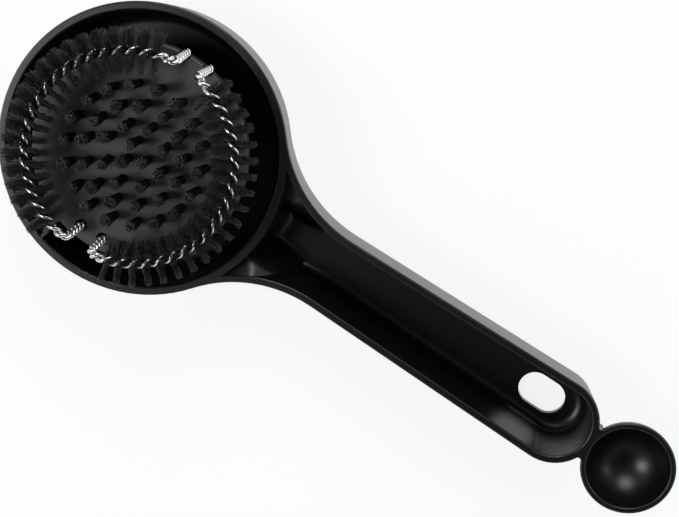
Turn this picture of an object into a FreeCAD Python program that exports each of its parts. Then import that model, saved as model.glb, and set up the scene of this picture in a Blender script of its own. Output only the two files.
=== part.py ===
"""Group head brush: a splash cup on a trough handle, with a small scoop at its end.

In the cup stands a round plate of tufts, and round the plate stand two half rings of brush,
each made of two strands of wire twisted together with bristles caught between them.

Millimetres. Z is up, and the origin is on the cup's axis at the surface the tool lies on.
X runs along the handle towards the scoop, and the bristles point up.
"""
import FreeCAD, Part
import math
import os

import Sketcher

Vector = FreeCAD.Vector
Constraint = Sketcher.Constraint
os.makedirs("parts", exist_ok=True)
doc = FreeCAD.newDocument("group_head_brush")


# Driving sizes
SIZES = {
    # the moulding: heights, walls and the draft of its sides
    "rim_height": 22.0,
    "cup_radius": 43.5,
    "cup_wall": 2.6,
    "cup_floor": 2.6,
    "draft_angle": 6.0,
    "handle_wall": 2.3,
    "handle_floor": 2.6,
    "base_round": 5.0,
    "inner_round": 3.5,
    "lip_round": 0.6,
    # the handle's outline
    "handle_reach": 144.5,
    "neck_half_width": 11.7,
    "end_radius": 13.2,
    "flare_radius": 40.0,
    # the hanging slot, set back from the handle's end
    "slot_setback": 4.8,
    "slot_length": 15.0,
    "slot_width": 10.2,
    "slot_round": 0.7,
    # the scoop and the waist that carries it
    "scoop_radius": 14.0,
    "scoop_overlap": 1.5,
    "scoop_wall": 1.8,
    "scoop_depth": 11.6,
    "waist_half_width": 5.4,
    "waist_depth": 6.0,
    # the socket in the cup and the hub of the brush plate
    "socket_radius": 8.5,
    "socket_height": 14.0,
    "socket_depth": 10.0,
    "hub_radius": 5.5,
    "hub_play": 0.1,
    "hub_end_gap": 1.0,
    # the brush plate
    "plate_radius": 32.3,
    "plate_thickness": 4.0,
    "plate_proud": 2.8,
    "plate_edge": 0.6,
    # the tufts, in rings about the axis
    "tuft_first_radius": 3.6,
    "tuft_ring_step": 5.55,
    "tuft_hole_radius": 1.3,
    "tuft_hole_depth": 3.0,
    "tuft_play": 0.2,
    "tuft_tip_radius": 1.75,
    "tuft_length": 10.2,
    "staple_thickness": 0.4,
    "staple_height": 1.0,
    # the two half rings of twisted wire, and the holes in the plate that take their legs
    "wire_radius": 0.62,
    "strand_gap": 0.48,
    "twist_pitch": 8.0,
    "brush_ring_radius": 30.6,
    "brush_ring_rise": 14.0,
    "leg_bend": 3.0,
    "leg_depth": 3.0,
    "leg_play": 0.4,
    "lean_out_angle": 6.0,
    "lean_in_angle": 10.0,
    "left_from_angle": 101.0,
    "left_to_angle": 257.0,
    "right_from_angle": -76.0,
    "right_to_angle": 76.0,
    # the bristles caught in the wire
    "bristle_length": 7.0,
    "bristle_root": 0.34,
    "bristle_fan": 1.8,
    "bristle_inset": 1.8,
}
TUFTS_IN_RING = (3, 8, 13, 18)
WIRE_SIDES = 6
WIRE_STEPS_PER_TURN = 8
BRISTLE_STEPS_PER_TURN = 16

sheet = doc.addObject("Spreadsheet::Sheet", "Sizes")
for row, (name, value) in enumerate(SIZES.items(), start=1):
    sheet.set(f"A{row}", name)
    sheet.set(f"B{row}", str(value))
    sheet.setAlias(f"B{row}", name)
doc.recompute()


def size(name):
    """The value of one cell of the sheet."""
    return float(sheet.get(name))


# Helpers for bodies, sketches and features
def new_body(label):
    body = doc.addObject("PartDesign::Body", label)
    body.Label = label
    return body


def new_sketch(body, name, role, height=None):
    """A sketch on one of the body's own origin planes, lifted to a bound height."""
    sketch = body.newObject("Sketcher::SketchObject", name)
    plane = next(f for f in body.Origin.OriginFeatures if f.Role == role)
    sketch.AttachmentSupport = (plane, [""])
    sketch.MapMode = "FlatFace"
    if height:
        sketch.setExpression("AttachmentOffset.Base.z", height)
    return sketch


def hold(sketch, kind, where, value, expression):
    """Add a size to a sketch and tie it to the sheet."""
    number = sketch.addConstraint(Constraint(kind, *where, value))
    sketch.setExpression(f"Constraints[{number}]", expression)


def circle(sketch, radius, expression, reach=None, reach_expression=None):
    """A circle about the origin, or about a point of the X axis."""
    middle = Vector(reach or 0, 0, 0)
    index = sketch.addGeometry(Part.Circle(middle, Vector(0, 0, 1), radius))
    if reach is None:
        sketch.addConstraint(Constraint("Coincident", index, 3, -1, 1))
    else:
        sketch.addConstraint(Constraint("PointOnObject", index, 3, -1))
        hold(sketch, "DistanceX", (-1, 1, index, 3), reach, reach_expression)
    hold(sketch, "Radius", (index,), radius, expression)
    return index


def arc(sketch, middle, radius, start, end):
    round_ = Part.Circle(Vector(middle[0], middle[1], 0), Vector(0, 0, 1), radius)
    return sketch.addGeometry(Part.ArcOfCircle(round_, start, end))


def line(sketch, start, end):
    return sketch.addGeometry(Part.LineSegment(Vector(*start, 0), Vector(*end, 0)))


def feature(body, kind, name, profile, **expressions):
    """A pad, pocket, revolution or groove of a sketch, with its sizes tied to the sheet."""
    thing = body.newObject("PartDesign::" + kind, name)
    thing.Profile = profile
    for prop, expression in expressions.items():
        thing.setExpression(prop, expression)
    profile.Visibility = False
    return thing


def edges_where(shape, test):
    return [f"Edge{i}" for i, edge in enumerate(shape.Edges, start=1) if test(edge)]


def round_edges(body, base, name, expression, test):
    """A fillet on every edge of the last feature that passes the test."""
    doc.recompute()
    fillet = body.newObject("PartDesign::Fillet", name)
    fillet.Base = (base, edges_where(base.Shape, test))
    fillet.setExpression("Radius", expression)
    doc.recompute()
    return fillet


def lies_at(height, reach=1e9, least=-1e9):
    """A test for edges that lie flat at a height, between two places along X."""
    def test(edge):
        box = edge.BoundBox
        flat = abs(box.ZMin - height) < 0.01 and abs(box.ZMax - height) < 0.01
        return flat and least < box.XMin and box.XMax < reach
    return test


def along(*sketches):
    """A test for edges that follow the lines of a sketch."""
    def test(edge):
        middle = Part.Vertex(edge.valueAt((edge.FirstParameter + edge.LastParameter) / 2))
        return any(sketch.Shape.distToShape(middle)[0] < 0.01 for sketch in sketches)
    return test


def tangent_outline(sketch, cup, flare, neck, end, reach, names):
    """The outline of cup, flared neck and handle: round arcs that run into straight sides.

    The flare touches the cup's circle from outside and comes down to the neck's half width.
    """
    flare_y = neck + flare
    flare_x = math.sqrt((cup + flare) ** 2 - flare_y ** 2)
    on_cup = math.atan2(flare_y, flare_x)
    away = math.hypot(reach - flare_x, flare_y)
    slope = math.asin((flare + end) / away) - math.atan2(flare_y, reach - flare_x)
    ends = {}
    for side in (1, -1):
        touch = (flare_x + flare * math.sin(slope), side * (flare_y - flare * math.cos(slope)))
        cap = (reach - end * math.sin(slope), side * end * math.cos(slope))
        first = side * (math.pi + on_cup)
        last = side * (1.5 * math.pi + slope)
        angles = (first, last) if side > 0 else (last, first)
        ends[side] = (
            arc(sketch, (flare_x, side * flare_y), flare, *angles),
            line(sketch, touch, cap),
        )
    big = arc(sketch, (0, 0), cup, on_cup, 2 * math.pi - on_cup)
    cap_angle = math.pi / 2 + slope
    small = arc(sketch, (reach, 0), end, -cap_angle, cap_angle)
    sketch.addConstraint(Constraint("Coincident", big, 3, -1, 1))
    sketch.addConstraint(Constraint("PointOnObject", small, 3, -1))
    hold(sketch, "Radius", (big,), cup, names["cup"])
    hold(sketch, "Radius", (small,), end, names["end"])
    hold(sketch, "DistanceX", (-1, 1, small, 3), reach, "Sizes.handle_reach")
    for side, (curve, edge) in ends.items():
        near_cup, near_handle = (1, 2) if side > 0 else (2, 1)
        cup_end, cap_end = (1, 2) if side > 0 else (2, 1)
        sketch.addConstraint(Constraint("Tangent", big, cup_end, curve, near_cup))
        sketch.addConstraint(Constraint("Tangent", curve, near_handle, edge, 1))
        sketch.addConstraint(Constraint("Tangent", edge, 2, small, cap_end))
        hold(sketch, "Radius", (curve,), flare, names["flare"])
        pair = (-1, 1, curve, 3) if side > 0 else (curve, 3, -1, 1)
        hold(sketch, "DistanceY", pair, flare_y, f"{names['neck']} + {names['flare']}")


# The moulding: cup, flared neck, trough handle and scoop in one piece
body = new_body("body")
rim = size("rim_height")
scoop_x = size("handle_reach") + size("end_radius") + size("scoop_radius") - size("scoop_overlap")
SCOOP_X = "(Sizes.handle_reach + Sizes.end_radius + Sizes.scoop_radius - Sizes.scoop_overlap)"

outline = new_sketch(body, "Outline", "XY_Plane", "Sizes.rim_height")
tangent_outline(
    outline, size("cup_radius"), size("flare_radius"), size("neck_half_width"),
    size("end_radius"), size("handle_reach"),
    {"cup": "Sizes.cup_radius", "flare": "Sizes.flare_radius",
     "neck": "Sizes.neck_half_width", "end": "Sizes.end_radius"},
)
block = feature(body, "Pad", "Block", outline, Length="Sizes.rim_height",
                TaperAngle="-Sizes.draft_angle")
block.Reversed = True
outer_lip = round_edges(body, block, "OuterLip", "Sizes.lip_round", lies_at(rim))

# The scoop: a bowl turned about its own upright axis
def bowl_profile(sketch, radius, depth, names):
    """Half the section of a round bowl, against an upright axis at the scoop's place."""
    ball = (radius ** 2 + depth ** 2) / (2 * depth)
    middle = rim - depth + ball
    edge_angle = math.asin((rim - middle) / ball)
    wall = arc(sketch, (scoop_x, middle), ball, -math.pi / 2, edge_angle)
    top = line(sketch, (scoop_x + radius, rim), (scoop_x, rim))
    axis = line(sketch, (scoop_x, rim), (scoop_x, rim - depth))
    sketch.addConstraint(Constraint("Coincident", wall, 2, top, 1))
    sketch.addConstraint(Constraint("Coincident", top, 2, axis, 1))
    sketch.addConstraint(Constraint("Coincident", axis, 2, wall, 1))
    sketch.addConstraint(Constraint("Horizontal", top))
    sketch.addConstraint(Constraint("Vertical", axis))
    sketch.addConstraint(Constraint("PointOnObject", wall, 3, axis))
    hold(sketch, "DistanceX", (-1, 1, top, 2), scoop_x, SCOOP_X)
    hold(sketch, "DistanceY", (-1, 1, top, 2), rim, "Sizes.rim_height")
    hold(sketch, "DistanceX", (top, 2, top, 1), radius, names["radius"])
    hold(sketch, "DistanceY", (axis, 2, axis, 1), depth, names["depth"])
    return axis


outer_bowl = new_sketch(body, "OuterBowl", "XZ_Plane")
outer_axis = bowl_profile(
    outer_bowl, size("scoop_radius"), size("scoop_depth") + size("scoop_wall"),
    {"radius": "Sizes.scoop_radius", "depth": "Sizes.scoop_depth + Sizes.scoop_wall"},
)
scoop = feature(body, "Revolution", "Scoop", outer_bowl)
scoop.ReferenceAxis = (outer_bowl, [f"Edge{outer_axis + 1}"])
scoop.Angle = 360

waist = new_sketch(body, "Waist", "XY_Plane", "Sizes.rim_height")
left = size("handle_reach") + size("end_radius") - size("handle_wall")
right = scoop_x - size("scoop_radius") + size("scoop_wall")
half = size("waist_half_width")
corners = [(left, -half), (right, -half), (right, half), (left, half)]
sides = [line(waist, corners[i], corners[(i + 1) % 4]) for i in range(4)]
for i in range(4):
    waist.addConstraint(Constraint("Coincident", sides[i], 2, sides[(i + 1) % 4], 1))
    waist.addConstraint(Constraint("Vertical" if i % 2 else "Horizontal", sides[i]))
hold(waist, "DistanceX", (-1, 1, sides[0], 1), left,
     "Sizes.handle_reach + Sizes.end_radius - Sizes.handle_wall")
hold(waist, "DistanceX", (-1, 1, sides[0], 2), right,
     f"{SCOOP_X} - Sizes.scoop_radius + Sizes.scoop_wall")
hold(waist, "DistanceY", (sides[0], 1, -1, 1), half, "Sizes.waist_half_width")
hold(waist, "DistanceY", (-1, 1, sides[2], 1), half, "Sizes.waist_half_width")
neck = feature(body, "Pad", "WaistPad", waist, Length="Sizes.waist_depth")
neck.Reversed = True
doc.recompute()
base_fillet = round_edges(body, neck, "BaseRound", "Sizes.base_round", lies_at(0))

# The hollows: the cup, the trough that flares to meet it, and the scoop's bowl
cup_hollow = new_sketch(body, "CupHollow", "XY_Plane", "Sizes.rim_height")
circle(cup_hollow, size("cup_radius") - size("cup_wall"), "Sizes.cup_radius - Sizes.cup_wall")
cup_cut = feature(body, "Pocket", "CupCut", cup_hollow,
                  Length="Sizes.rim_height - Sizes.cup_floor", TaperAngle="-Sizes.draft_angle")


def trough_outline(sketch, cup, flare, neck, end, reach, wall):
    """The trough's hollow: the outline's flares and sides one wall inward, shut by the cup."""
    flare_y = neck + flare
    flare_x = math.sqrt((cup + flare) ** 2 - flare_y ** 2)
    flare, end = flare + wall, end - wall
    apart = math.hypot(flare_x, flare_y)
    on_line = (apart ** 2 + cup ** 2 - flare ** 2) / (2 * apart)
    mouth_angle = math.atan2(flare_y, flare_x) - math.acos(on_line / cup)
    corner = (cup * math.cos(mouth_angle), cup * math.sin(mouth_angle))
    away = math.hypot(reach - flare_x, flare_y)
    slope = math.asin((flare + end) / away) - math.atan2(flare_y, reach - flare_x)
    mouth = arc(sketch, (0, 0), cup, -mouth_angle, mouth_angle)
    cap = arc(sketch, (reach, 0), end, -math.pi / 2 - slope, math.pi / 2 + slope)
    sketch.addConstraint(Constraint("Coincident", mouth, 3, -1, 1))
    sketch.addConstraint(Constraint("PointOnObject", cap, 3, -1))
    hold(sketch, "Radius", (mouth,), cup, "Sizes.cup_radius")
    hold(sketch, "Radius", (cap,), end, "Sizes.end_radius - Sizes.handle_wall")
    hold(sketch, "DistanceX", (-1, 1, cap, 3), reach, "Sizes.handle_reach")
    for side in (1, -1):
        first = side * math.atan2(corner[1] - flare_y, corner[0] - flare_x)
        last = side * (slope - math.pi / 2)
        curve = arc(sketch, (flare_x, side * flare_y), flare,
                    *((first, last) if side > 0 else (last, first)))
        edge = line(sketch,
                    (flare_x + flare * math.sin(slope), side * (flare_y - flare * math.cos(slope))),
                    (reach - end * math.sin(slope), side * end * math.cos(slope)))
        near_cup, near_handle = (1, 2) if side > 0 else (2, 1)
        which = 2 if side > 0 else 1
        sketch.addConstraint(Constraint("Coincident", curve, near_cup, mouth, which))
        sketch.addConstraint(Constraint("Tangent", curve, near_handle, edge, 1))
        sketch.addConstraint(Constraint("Tangent", edge, 2, cap, which))
        hold(sketch, "Radius", (curve,), flare, "Sizes.flare_radius + Sizes.handle_wall")
        pair = (-1, 1, curve, 3) if side > 0 else (curve, 3, -1, 1)
        hold(sketch, "DistanceY", pair, flare_y, "Sizes.neck_half_width + Sizes.flare_radius")
        hold(sketch, "DistanceX", (-1, 1, curve, 3), flare_x,
             "sqrt((Sizes.cup_radius + Sizes.flare_radius)^2"
             " - (Sizes.neck_half_width + Sizes.flare_radius)^2)")


trough = new_sketch(body, "TroughHollow", "XY_Plane", "Sizes.rim_height")
trough_outline(trough, size("cup_radius"), size("flare_radius"), size("neck_half_width"),
               size("end_radius"), size("handle_reach"), size("handle_wall"))
trough_cut = feature(body, "Pocket", "TroughCut", trough,
                     Length="Sizes.rim_height - Sizes.handle_floor", TaperAngle="-Sizes.draft_angle")
doc.recompute()
floor_round = round_edges(body, trough_cut, "FloorRound", "Sizes.inner_round",
                          lies_at(size("handle_floor"), least=size("cup_radius") * 0.9))
cup_round = round_edges(body, floor_round, "CupRound", "Sizes.inner_round",
                        lies_at(size("cup_floor"), reach=size("cup_radius")))

scoop_hollow = new_sketch(body, "ScoopHollow", "XZ_Plane")
inner_axis = bowl_profile(
    scoop_hollow, size("scoop_radius") - size("scoop_wall"), size("scoop_depth"),
    {"radius": "Sizes.scoop_radius - Sizes.scoop_wall", "depth": "Sizes.scoop_depth"},
)
scoop_cut = feature(body, "Groove", "ScoopCut", scoop_hollow)
scoop_cut.ReferenceAxis = (scoop_hollow, [f"Edge{inner_axis + 1}"])
scoop_cut.Angle = 360

# The hanging slot, right through the handle's floor
slot = new_sketch(body, "HangingSlot", "XY_Plane")
slot_x, slot_r = size("handle_reach") - size("slot_setback"), size("slot_width") / 2
straight = (size("slot_length") - size("slot_width")) / 2
caps = (arc(slot, (slot_x - straight, 0), slot_r, math.pi / 2, 1.5 * math.pi),
        arc(slot, (slot_x + straight, 0), slot_r, -math.pi / 2, math.pi / 2))
above = line(slot, (slot_x - straight, slot_r), (slot_x + straight, slot_r))
below = line(slot, (slot_x - straight, -slot_r), (slot_x + straight, -slot_r))
slot.addConstraint(Constraint("Tangent", caps[0], 1, above, 1))
slot.addConstraint(Constraint("Tangent", above, 2, caps[1], 2))
slot.addConstraint(Constraint("Tangent", caps[1], 1, below, 2))
slot.addConstraint(Constraint("Tangent", below, 1, caps[0], 2))
slot.addConstraint(Constraint("PointOnObject", caps[0], 3, -1))
slot.addConstraint(Constraint("PointOnObject", caps[1], 3, -1))
slot_words = "Sizes.handle_reach - Sizes.slot_setback"
half_run = "(Sizes.slot_length - Sizes.slot_width) / 2"
hold(slot, "Radius", (caps[0],), slot_r, "Sizes.slot_width / 2")
hold(slot, "DistanceX", (-1, 1, caps[0], 3), slot_x - straight, f"{slot_words} - {half_run}")
hold(slot, "DistanceX", (-1, 1, caps[1], 3), slot_x + straight, f"{slot_words} + {half_run}")
slot_cut = feature(body, "Pocket", "SlotCut", slot, Length="Sizes.handle_floor + 1")
slot_cut.Reversed = True

slot_round = round_edges(body, slot_cut, "SlotRound", "Sizes.slot_round", along(slot))

# The socket that stands in the middle of the cup and takes the brush plate's hub
post = new_sketch(body, "SocketPost", "XY_Plane", "Sizes.cup_floor")
circle(post, size("socket_radius"), "Sizes.socket_radius")
socket = feature(body, "Pad", "Socket", post, Length="Sizes.socket_height")
bore = new_sketch(body, "SocketBore", "XY_Plane", "Sizes.cup_floor + Sizes.socket_height")
circle(bore, size("hub_radius") + size("hub_play"), "Sizes.hub_radius + Sizes.hub_play")
socket_bore = feature(body, "Pocket", "SocketBoreCut", bore, Length="Sizes.socket_depth")


def is_inner_lip(edge):
    """The rims of the cup and the trough, without the cup wall's side of the trough."""
    box = edge.BoundBox
    return along(cup_hollow, trough)(edge) and (box.XMin < 0 or box.XMax > size("cup_radius") + 1)


lip = round_edges(body, socket_bore, "InnerLip", "Sizes.lip_round", is_inner_lip)
scoop_lip = round_edges(body, lip, "ScoopLip", "Sizes.lip_round",
                        lies_at(rim, least=scoop_x - size("scoop_radius")))
body.Tip = scoop_lip
doc.recompute()

# The brush plate: a round plate with a hub that plugs into the socket
plate = new_body("brush_plate")
disc = new_sketch(plate, "PlateDisc", "XY_Plane",
                  "Sizes.rim_height + Sizes.plate_proud - Sizes.plate_thickness")
circle(disc, size("plate_radius"), "Sizes.plate_radius")
disc_pad = feature(plate, "Pad", "PlatePad", disc, Length="Sizes.plate_thickness")

collar = new_sketch(plate, "Collar", "XY_Plane", "Sizes.cup_floor + Sizes.socket_height")
circle(collar, size("socket_radius"), "Sizes.socket_radius")
collar_pad = feature(
    plate, "Pad", "CollarPad", collar,
    Length="Sizes.rim_height + Sizes.plate_proud - Sizes.plate_thickness"
           " - Sizes.cup_floor - Sizes.socket_height")

hub = new_sketch(plate, "Hub", "XY_Plane", "Sizes.cup_floor + Sizes.socket_height")
circle(hub, size("hub_radius"), "Sizes.hub_radius")
hub_pad = feature(plate, "Pad", "HubPad", hub, Length="Sizes.socket_depth - Sizes.hub_end_gap")
hub_pad.Reversed = True
doc.recompute()
plate_edge = round_edges(plate, hub_pad, "PlateEdge", "Sizes.plate_edge",
                         lambda edge: edge.BoundBox.XLength > 2 * size("plate_radius") - 0.01)


def turned(radius, angle):
    """The point at a radius, turned about the upright axis by an angle in degrees."""
    return Vector(radius * math.cos(math.radians(angle)), radius * math.sin(math.radians(angle)), 0)


# The tuft holes: rings of blind holes, each ring drilled once and repeated about the axis
tuft_places = []
for ring, count in enumerate(TUFTS_IN_RING):
    ring_radius = size("tuft_first_radius") + ring * size("tuft_ring_step")
    ring_words = f"Sizes.tuft_first_radius + {ring} * Sizes.tuft_ring_step"
    tuft_places += [(ring_words, 360 * k / count) for k in range(count)]
    hole = new_sketch(plate, f"TuftHole{ring}", "XY_Plane", "Sizes.rim_height + Sizes.plate_proud")
    circle(hole, size("tuft_hole_radius"), "Sizes.tuft_hole_radius", ring_radius, ring_words)
    drill = feature(plate, "Pocket", f"TuftDrill{ring}", hole, Length="Sizes.tuft_hole_depth")
    pattern = plate.newObject("PartDesign::PolarPattern", f"TuftRing{ring}")
    pattern.Originals = [drill]
    pattern.Axis = (next(f for f in plate.Origin.OriginFeatures if f.Role == "Z_Axis"), [""])
    pattern.Angle = 360
    pattern.Occurrences = count
    plate.Tip = pattern
doc.recompute()

# The leg holes, where the half rings' legs stand near the plate's edge
stem = 2 * size("wire_radius") + size("strand_gap") / 2 + size("leg_play")
drop = size("brush_ring_rise") - size("plate_proud") + size("leg_depth") / 2
leg_holes = new_sketch(plate, "LegHoles", "XY_Plane", "Sizes.rim_height + Sizes.plate_proud")
for leg, lean, sign, turn in (
    ("left_from_angle", "lean_out_angle", "+", -1),
    ("left_to_angle", "lean_in_angle", "-", 1),
    ("right_from_angle", "lean_in_angle", "-", -1),
    ("right_to_angle", "lean_out_angle", "+", 1),
):
    out = float(sign + "1") * drop * math.tan(math.radians(size(lean)))
    middle = turned(size("brush_ring_radius") + out, size(leg))
    middle += turned(size("leg_bend"), size(leg) + 90) * turn
    hole = leg_holes.addGeometry(Part.Circle(middle, Vector(0, 0, 1), stem))
    hold(leg_holes, "Radius", (hole,), stem,
         "2 * Sizes.wire_radius + Sizes.strand_gap / 2 + Sizes.leg_play")
    reach_words = (f"(Sizes.brush_ring_radius {sign} (Sizes.brush_ring_rise - Sizes.plate_proud"
                   f" + Sizes.leg_depth / 2) * tan(Sizes.{lean} * 1 deg))")
    for kind, value, rule in (("DistanceX", middle.x, "cos"), ("DistanceY", middle.y, "sin")):
        place_words = (f"{reach_words} * {rule}(Sizes.{leg} * 1 deg)"
                       f" + {turn} * Sizes.leg_bend * {rule}((Sizes.{leg} + 90) * 1 deg)")
        if value >= 0:
            hold(leg_holes, kind, (-1, 1, hole, 3), value, place_words)
        else:
            hold(leg_holes, kind, (hole, 3, -1, 1), -value, f"-({place_words})")
leg_cut = feature(plate, "Pocket", "LegCut", leg_holes, Length="Sizes.leg_depth")
plate.Tip = leg_cut
doc.recompute()


# Solids that a loop writes facet by facet, since no sweep keeps to so few faces
def solid_from_sections(sections, profile):
    """A closed solid of flat triangles through rings of points, capped at both ends.

    Each four-sided face is halved from its corner nearer the axis, so that the two
    faces of a thin wing are halved alike and never cross.
    """
    count = len(profile)
    points = [point for section in sections for point in section]
    facets = []
    for i in range(len(sections) - 1):
        low, high = i * count, (i + 1) * count
        for k in range(count):
            after = (k + 1) % count
            if math.hypot(*profile[k]) > math.hypot(*profile[after]):
                facets.append((low + k, low + after, high + k))
                facets.append((low + after, high + after, high + k))
            else:
                facets.append((low + k, low + after, high + after))
                facets.append((low + k, high + after, high + k))
    last = (len(sections) - 1) * count
    for k in range(1, count - 1):
        facets.append((0, k + 1, k))
        facets.append((last, last + k, last + k + 1))
    shell = Part.Shape()
    shell.makeShapeFromMesh((points, facets), 0.001)
    solid = Part.makeSolid(shell)
    if solid.Volume < 0:
        solid.reverse()
    return solid


class TwistedHalfRing:
    """The path of one half ring: leg, bend, arc, bend, leg, and the twist along it."""

    def __init__(self, start, stop, lean_start, lean_stop):
        self.ends = (start, stop)
        self.leans = (lean_start, lean_stop)
        self.radius = size("brush_ring_radius")
        self.bend = size("leg_bend")
        self.top = size("rim_height") + size("brush_ring_rise")
        self.foot = size("rim_height") + size("plate_proud") - size("leg_depth")
        self.legs = [(self.top - self.foot) / math.cos(math.radians(lean)) - self.bend
                     for lean in self.leans]
        self.quarter = self.bend * math.pi / 2
        self.arc = self.radius * math.radians(stop - start)
        self.length = sum(self.legs) + 2 * self.quarter + self.arc

    def frame(self, s):
        """The point, the way along, the side and its twist at a distance from the first foot."""
        arc_start = self.legs[0] + self.quarter
        past = s - arc_start
        if 0 <= past <= self.arc:
            angle = self.ends[0] + math.degrees(past / self.radius)
            point = turned(self.radius, angle) + Vector(0, 0, self.top)
            return point, turned(1, angle + 90), turned(1, angle), 0
        which = 0 if past < 0 else 1
        turn = 1 if which else -1
        beyond = past - self.arc if which else -past
        angle, lean = self.ends[which], math.radians(self.leans[which])
        ahead, out, up = turned(turn, angle + 90), turned(1, angle), Vector(0, 0, 1)
        down = out * math.sin(lean) - up * math.cos(lean)
        side = out * math.cos(lean) + up * math.sin(lean)
        bent = min(beyond / self.bend, math.pi / 2)
        point = turned(self.radius, angle) + Vector(0, 0, self.top)
        point += ahead * self.bend * math.sin(bent) + down * self.bend * (1 - math.cos(bent))
        point += down * max(0, beyond - self.quarter)
        way = (ahead * math.cos(bent) + down * math.sin(bent)) * turn
        return point, way, side, lean

    def section(self, s, profile):
        """A flat outline set across the path, turned with the twist; feet are cut level."""
        point, way, side, lean = self.frame(s)
        twist = 2 * math.pi * s / size("twist_pitch") + lean
        across = way.cross(side)
        one = side * math.cos(twist) + across * math.sin(twist)
        two = across * math.cos(twist) - side * math.sin(twist)
        corners = [point + one * x + two * y for x, y in profile]
        if s in (0, self.length):
            corners = [c + way * ((self.foot - c.z) / way.z) for c in corners]
        return corners

    def solid(self, first, last, steps_per_turn, profile):
        steps = math.ceil((last - first) * steps_per_turn / size("twist_pitch"))
        places = [first + (last - first) * i / steps for i in range(steps)] + [last]
        return solid_from_sections([self.section(s, profile) for s in places], profile)


def strand_outline(side):
    """One wire's own outline, to one side of the twist's axis."""
    off = side * (size("wire_radius") + size("strand_gap") / 2)
    corners = [turned(size("wire_radius"), 360 * k / WIRE_SIDES) for k in range(WIRE_SIDES)]
    return [(off + corner.x, corner.y) for corner in corners]


def bristle_outline():
    """Bristles across the twist: thin where the wires pinch them, fanned out at the tips."""
    length, root, fan = size("bristle_length"), size("bristle_root") / 2, size("bristle_fan") / 2
    return [(-root, 0), (-fan, -length), (fan, -length), (root, 0), (fan, length), (-fan, length)]


def place_shape(label, shape):
    """A sub-part that carries a shape worked out from the sheet."""
    thing = doc.addObject("Part::Feature", label)
    thing.Label = label
    thing.Shape = shape
    thing.Placement = FreeCAD.Placement()
    return thing


def place_group(label, things):
    """Several like solids as one sub-part."""
    group = doc.addObject("Part::Compound", label)
    group.Label = label
    group.Links = things
    return group


# The tufts, each a cone of bristles that flares from its hole, and the staples that hold them
tufts, staples = [], []
for number, (ring_words, angle) in enumerate(tuft_places):
    tuft = doc.addObject("Part::Cone", f"Tuft{number}")
    tuft.setExpression("Radius1", "Sizes.tuft_hole_radius - Sizes.tuft_play")
    tuft.setExpression("Radius2", "Sizes.tuft_tip_radius")
    tuft.setExpression("Height", "Sizes.tuft_length + Sizes.tuft_hole_depth - Sizes.staple_height")
    staple = doc.addObject("Part::Box", f"Staple{number}")
    staple.setExpression("Length", "Sizes.staple_thickness")
    staple.setExpression("Width", "1.6 * Sizes.tuft_hole_radius")
    staple.setExpression("Height", "Sizes.staple_height")
    for thing, shift, lift in ((tuft, ("", ""), " + Sizes.staple_height"),
                               (staple, (" - Sizes.staple_thickness / 2",
                                         " - 0.8 * Sizes.tuft_hole_radius"), "")):
        thing.setExpression("Placement.Base.x", f"({ring_words}) * cos({angle} deg){shift[0]}")
        thing.setExpression("Placement.Base.y", f"({ring_words}) * sin({angle} deg){shift[1]}")
        thing.setExpression(
            "Placement.Base.z",
            f"Sizes.rim_height + Sizes.plate_proud - Sizes.tuft_hole_depth{lift}")
    tufts.append(tuft)
    staples.append(staple)

# The half rings: two strands of wire each, and the bristles that they pinch
sub_parts = [body, plate, place_group("centre_tufts", tufts), place_group("tuft_staples", staples)]
lean_out, lean_in = size("lean_out_angle"), size("lean_in_angle")
for name, path in (
    ("left", TwistedHalfRing(size("left_from_angle"), size("left_to_angle"), lean_out, -lean_in)),
    ("right", TwistedHalfRing(size("right_from_angle"), size("right_to_angle"), -lean_in, lean_out)),
):
    for letter, side in (("a", 1), ("b", -1)):
        sub_parts.append(place_shape(
            f"{name}_strand_{letter}",
            path.solid(0, path.length, WIRE_STEPS_PER_TURN, strand_outline(side))))
    first = path.legs[0] + path.quarter + size("bristle_inset")
    last = path.length - path.legs[1] - path.quarter - size("bristle_inset")
    sub_parts.append(place_shape(
        f"{name}_bristles",
        path.solid(first, last, BRISTLE_STEPS_PER_TURN, bristle_outline())))
doc.recompute()

# Every object is sound before anything is written
for thing in doc.Objects:
    assert not {"Invalid", "Error"} & set(thing.State), f"{thing.Label} is {thing.State}"
for part in sub_parts:
    assert not part.Shape.isNull() and part.Shape.isValid(), f"{part.Label} has no sound shape"
    part.Shape.exportStep(f"parts/{part.Label}.step")
    print(part.Label, len(part.Shape.Solids), round(part.Shape.Volume, 1))
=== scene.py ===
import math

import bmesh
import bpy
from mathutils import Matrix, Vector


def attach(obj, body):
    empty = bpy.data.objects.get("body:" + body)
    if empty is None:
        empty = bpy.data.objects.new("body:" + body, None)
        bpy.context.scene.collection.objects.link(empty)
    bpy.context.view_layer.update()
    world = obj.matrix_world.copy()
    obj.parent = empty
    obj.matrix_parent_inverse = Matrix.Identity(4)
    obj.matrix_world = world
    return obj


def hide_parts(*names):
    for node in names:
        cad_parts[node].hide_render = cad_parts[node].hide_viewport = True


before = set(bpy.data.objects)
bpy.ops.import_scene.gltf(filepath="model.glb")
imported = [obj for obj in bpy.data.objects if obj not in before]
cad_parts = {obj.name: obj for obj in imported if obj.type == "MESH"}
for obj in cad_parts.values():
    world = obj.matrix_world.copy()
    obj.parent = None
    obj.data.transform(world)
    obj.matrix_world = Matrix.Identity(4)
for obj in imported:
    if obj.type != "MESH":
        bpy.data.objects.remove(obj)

# %% [markdown]
# # A group head brush
# This tool cleans the group head of an espresso machine. It is a moulded cup on a trough handle,
# with a small scoop at the far end. A round plate of tufts stands in the cup, and two half rings
# of twisted-wire brush stand round the plate.
#
# The CAD has given every piece its size and place. The moulding, the plate and the staples keep
# their CAD shapes and only get materials here. The tufts, the wires and the bristles are made
# again, filament by filament, because the CAD has simple solids there. Two small skins are added
# in the neck.

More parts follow.
